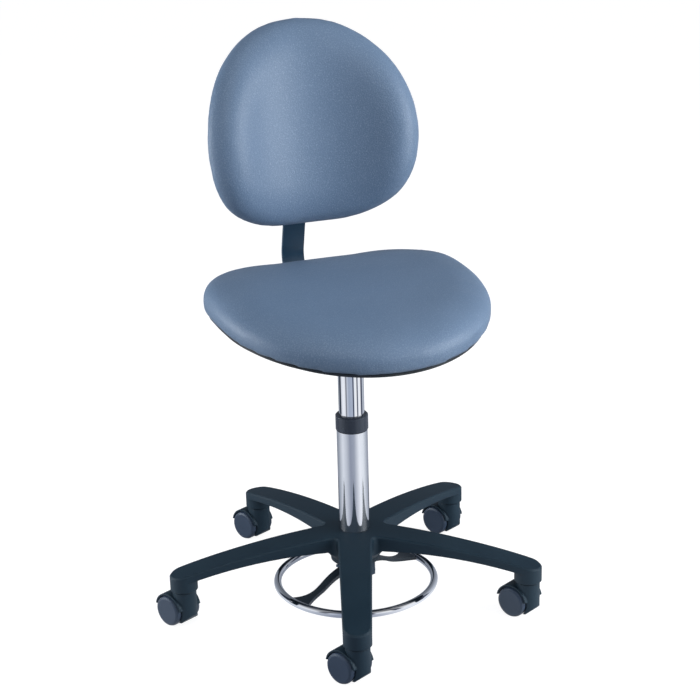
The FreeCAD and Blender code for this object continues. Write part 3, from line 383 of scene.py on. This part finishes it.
def blow_up(piece, held):
    """Cloth under pressure: held points stay, and a cap limits how far the others go."""
    mesh = piece.data
    start = points_of(mesh)
    small = start - normals_of(mesh) * CLOTH_SHRINK
    small[held] = start[held]
    place_points(mesh, small)
    group = piece.vertex_groups.new(name="held")
    group.add(np.flatnonzero(held).tolist(), 1.0, "ADD")
    cloth = piece.modifiers.new("cloth", "CLOTH")
    cloth.settings.use_pressure = True
    cloth.settings.uniform_pressure_force = CLOTH_PRESSURE
    cloth.settings.vertex_group_mass = "held"
    cloth.settings.effector_weights.gravity = 0.0
    cloth.settings.tension_stiffness = CLOTH_STIFFNESS
    cloth.settings.compression_stiffness = CLOTH_STIFFNESS
    cloth.settings.bending_stiffness = CLOTH_BENDING
    cloth.collision_settings.use_collision = False
    cloth.point_cache.frame_start = 1
    cloth.point_cache.frame_end = CLOTH_FRAMES
    for number in range(1, CLOTH_FRAMES + 1):
        scene.frame_set(number)
    blown = points_of(piece.evaluated_get(bpy.context.evaluated_depsgraph_get()).data)
    piece.modifiers.clear()
    scene.frame_set(1)
    move = blown - start
    length = np.linalg.norm(move, axis=1, keepdims=True)
    move *= np.minimum(1.0, CLOTH_CAP / np.maximum(length, NO_LENGTH))
    move[held] = 0.0
    place_points(mesh, start + spread(move, mesh, CLOTH_ROUNDS))


def finish_soft(piece, share, node, body):
    """Blow a pad up, and let it stand for its node on its body."""
    blow_up(piece, share[:, 0] < HELD_SHARE)
    finer = piece.modifiers.new("finer", "SUBSURF")
    finer.levels = 1
    finer.render_levels = 1
    piece.data.materials.clear()
    piece.data.materials.append(materials["vinyl"])
    piece.data.polygons.foreach_set("use_smooth", [True] * len(piece.data.polygons))
    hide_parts(node)
    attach(piece, body)


# The seat is firmer, and swells more, toward its rear
SEAT_CENTRE = np.array((0.0, 0.0, 0.5))
SEAT_SIDE_GROW = 0.007
REAR_FROM = -0.06
REAR_RUN = 0.2
REAR_FIRMNESS = 0.6
REAR_GROW = 0.007

seat_pad = soft_copy("seat_cushion")
seat_share = softness(seat_pad, UPWARD, SEAT_CENTRE, firm=-0.45, free=0.15)
to_rear = np.clip((points_of(seat_pad.data)[:, 1:2] - REAR_FROM) / REAR_RUN, 0.0, 1.0)
rim_share = seat_share * (1.0 - REAR_FIRMNESS * to_rear)
soften(seat_pad, UPWARD, rim_share, FACE_GROW + REAR_GROW * to_rear, SEAT_SIDE_GROW)
finish_soft(seat_pad, seat_share, "seat_cushion", "seat")

BACK_CENTRE = np.array((0.0, 0.15, 0.76))
BACK_SIDE_GROW = 0.0075

back_pad = soft_copy("back_cushion")
back_share = softness(back_pad, FORWARD, BACK_CENTRE, firm=-0.7, free=-0.1)
soften(back_pad, FORWARD, back_share, FACE_GROW, BACK_SIDE_GROW)
finish_soft(back_pad, back_share, "back_cushion", "back")


# Screens that metal sees

# Tones by direction round the column, in shares of a turn: 0.5 is toward the camera, 0.75 to its right.
# The flagged screens have narrow dark flags between their bright stretches.
SOFT_SCREENS = [
    (0.0, (0.22, 0.24, 0.28)), (0.16, (0.34, 0.37, 0.43)), (0.29, (0.78, 0.81, 0.87)),
    (0.37, (0.60, 0.63, 0.70)), (0.45, (0.30, 0.33, 0.41)), (0.53, (0.38, 0.41, 0.49)),
    (0.64, (0.93, 0.95, 1.0)), (0.73, (0.84, 0.87, 0.92)), (0.84, (0.42, 0.45, 0.52)),
    (1.0, (0.22, 0.24, 0.28)),
]
FLAGGED_SCREENS = [
    (0.0, (0.22, 0.24, 0.28)), (0.14, (0.30, 0.33, 0.38)), (0.160, (0.02, 0.03, 0.05)),
    (0.212, (0.03, 0.04, 0.06)), (0.230, (0.72, 0.74, 0.80)), (0.29, (0.96, 0.97, 1.0)),
    (0.345, (0.88, 0.89, 0.93)), (0.365, (0.22, 0.23, 0.26)), (0.382, (0.22, 0.23, 0.27)),
    (0.400, (0.62, 0.66, 0.74)), (0.44, (0.40, 0.45, 0.56)), (0.530, (0.46, 0.51, 0.62)),
    (0.543, (0.03, 0.04, 0.08)), (0.560, (0.04, 0.05, 0.09)), (0.574, (0.85, 0.88, 0.94)),
    (0.605, (1.0, 1.0, 1.0)), (0.630, (1.0, 1.0, 1.0)), (0.645, (0.06, 0.07, 0.11)),
    (0.662, (0.08, 0.09, 0.13)), (0.680, (0.95, 0.96, 1.0)), (0.74, (1.0, 1.0, 1.0)),
    (0.762, (0.10, 0.11, 0.16)), (0.805, (0.06, 0.07, 0.11)), (0.825, (0.60, 0.63, 0.70)),
    (0.86, (0.50, 0.53, 0.60)), (1.0, (0.22, 0.24, 0.28)),
]

# Share of those tones by how steeply a ray goes up, from level at 0 to straight up at 1
SCREEN_HEIGHT = [(0.0, 1.0), (0.35, 0.85), (0.75, 0.35), (1.0, 0.30)]


def turn_share(tree, way):
    """Direction round the column as a share of a turn."""
    spin = tree.add("Mapping", Vector=way, Rotation=(0, 0, math.atan2(level.x, level.y)))
    parts = tree.add("SeparateXYZ", Vector=spin.outputs["Vector"])
    toward = tree.math("MULTIPLY", parts.outputs["Y"], -1.0)
    angle = tree.math("ARCTAN2", parts.outputs["X"], toward)
    return tree.math("ADD", tree.math("MULTIPLY", angle, 0.5 / math.pi), 0.5)


def looked_at(tree, path):
    """1 for rays that see the background itself: from the camera, or through something clear."""
    return tree.math("MAXIMUM", path.outputs["Is Camera Ray"], path.outputs["Is Transmission Ray"])


# Floor

FLOOR_HALF = 40.0
FLOOR_DROP = 0.0005
FLOOR_GLOW = 0.89
FLOOR_COLOUR = (0.24, 0.24, 0.25, 1)

# Metal sees the soft screens on the floor near the column, and the flagged ones farther out
SOFT_TO = 0.82
FLAGGED_FROM = 0.87
RAMP_FROM = 0.5


def make_floor_skin():
    """Matt floor that keeps the shadow and glows pale where it is looked at; to glossy rays it glows the
    screens' tones, a painted reflection.
    """
    material = bpy.data.materials.new("pale_floor")
    material.use_nodes = True
    tree = Tree(material.node_tree)
    material.node_tree.nodes.remove(material.node_tree.nodes["Principled BSDF"])
    path = tree.add("LightPath")
    glow = tree.add("Emission", Strength=tree.math("MULTIPLY", looked_at(tree, path), FLOOR_GLOW))
    matt = tree.add("BsdfDiffuse", Color=FLOOR_COLOUR)
    plain = tree.add("AddShader")
    tree.set(plain, 0, glow.outputs[0])
    tree.set(plain, 1, matt.outputs[0])
    place = tree.add("TexCoord").outputs["Object"]
    share = turn_share(tree, place)
    distance = tree.math("SUBTRACT", tree.length(place), RAMP_FROM)
    far = tree.greys(distance, [(SOFT_TO - RAMP_FROM, 0.0), (FLAGGED_FROM - RAMP_FROM, 1.0)])
    tones = tree.mix(far, tree.ramp(share, SOFT_SCREENS), tree.ramp(share, FLAGGED_SCREENS))
    # The floor glows the screens' tones to glossy rays: a painted reflection, the floor being no lamp
    mirrored = tree.add("Emission", Color=tones)
    either = tree.add("MixShader")
    tree.set(either, 0, path.outputs["Is Glossy Ray"])
    tree.set(either, 1, plain.outputs[0])
    tree.set(either, 2, mirrored.outputs[0])
    tree.set(material.node_tree.nodes["Material Output"], "Surface", either.outputs[0])
    return material


corners = [(x * FLOOR_HALF, y * FLOOR_HALF, 0) for x, y in ((-1, -1), (1, -1), (1, 1), (-1, 1))]
floor_mesh = bpy.data.meshes.new("floor")
floor_mesh.from_pydata(corners, [], [(0, 1, 2, 3)])
floor_mesh.materials.append(make_floor_skin())
floor = bpy.data.objects.new("floor", floor_mesh)
floor.location.z = -FLOOR_DROP
scene.collection.objects.link(floor)


# World

WORLD_WHITE = (1, 1, 1, 1)
WORLD_FILL = (0.45, 0.46, 0.48, 1)


def make_world():
    """White where it is looked at, screens by direction and height to metal, and an even fill to the rest."""
    world = bpy.data.worlds.new("studio")
    scene.world = world
    world.use_nodes = True
    tree = Tree(world.node_tree)
    path = tree.add("LightPath")
    way = tree.add("TexCoord").outputs["Generated"]
    screens = tree.ramp(turn_share(tree, way), FLAGGED_SCREENS)
    height = tree.greys(tree.add("SeparateXYZ", Vector=way).outputs["Z"], SCREEN_HEIGHT)
    mirrored = tree.mix(1.0, screens, height, blend="MULTIPLY")
    lighting = tree.mix(path.outputs["Is Glossy Ray"], WORLD_FILL, mirrored)
    seen = tree.mix(looked_at(tree, path), lighting, WORLD_WHITE)
    tree.set(world.node_tree.nodes["Background"], "Color", seen)


make_world()


# Lamps

# Each soft box is two lamps, so that only a share of its power shows in glossy surfaces. That one stands a
# little behind the other, because together in one place they gave less light.
GLOSS_SHARE = 0.4
LAMP_GAP = 0.05
LAMP_PARTS = (("_matt", 1.0 - GLOSS_SHARE, 0.0), ("_gloss", GLOSS_SHARE, LAMP_GAP))


def unlit(label, names):
    """Collection of nodes that a lamp leaves out: plated pieces show the screens instead."""
    group = bpy.data.collections.new(label)
    for name in names:
        group.objects.link(nodes[name])
    for linked in group.collection_objects:
        linked.light_linking.link_state = "EXCLUDE"
    return group


plated = unlit("plated", ("stand_tube", "guide_tube", "foot_ring"))


def soft_light(name, aside, near, high, size, power, target):
    """Soft box, placed from the column's foot: aside to the camera's right, near toward it, and high."""
    place = right * aside - level * near + UPRIGHT * high
    ahead = (Vector(target) - place).normalized()
    for part, share, back in LAMP_PARTS:
        light = bpy.data.lights.new(name + part, "AREA")
        light.size = size
        light.energy = power * share
        lamp = bpy.data.objects.new(name + part, light)
        lamp.location = place - ahead * back
        lamp.rotation_euler = ahead.to_track_quat("-Z", "Y").to_euler()
        lamp.light_linking.receiver_collection = plated
        lamp.visible_glossy = part == "_gloss"
        scene.collection.objects.link(lamp)


soft_light("key_right", aside=2.2, near=0.50, high=0.95, size=1.8, power=74.0, target=(0, 0, 0.62))
soft_light("rim_left", aside=-2.0, near=-0.20, high=0.60, size=1.3, power=42.0, target=(0, 0, 0.50))
soft_light("front", aside=-0.2, near=1.7, high=2.1, size=1.6, power=13.0, target=(0, 0.1, 0.75))
soft_light("over", aside=0.2, near=0.4, high=2.6, size=1.6, power=7.0, target=(0, 0, 0.5))
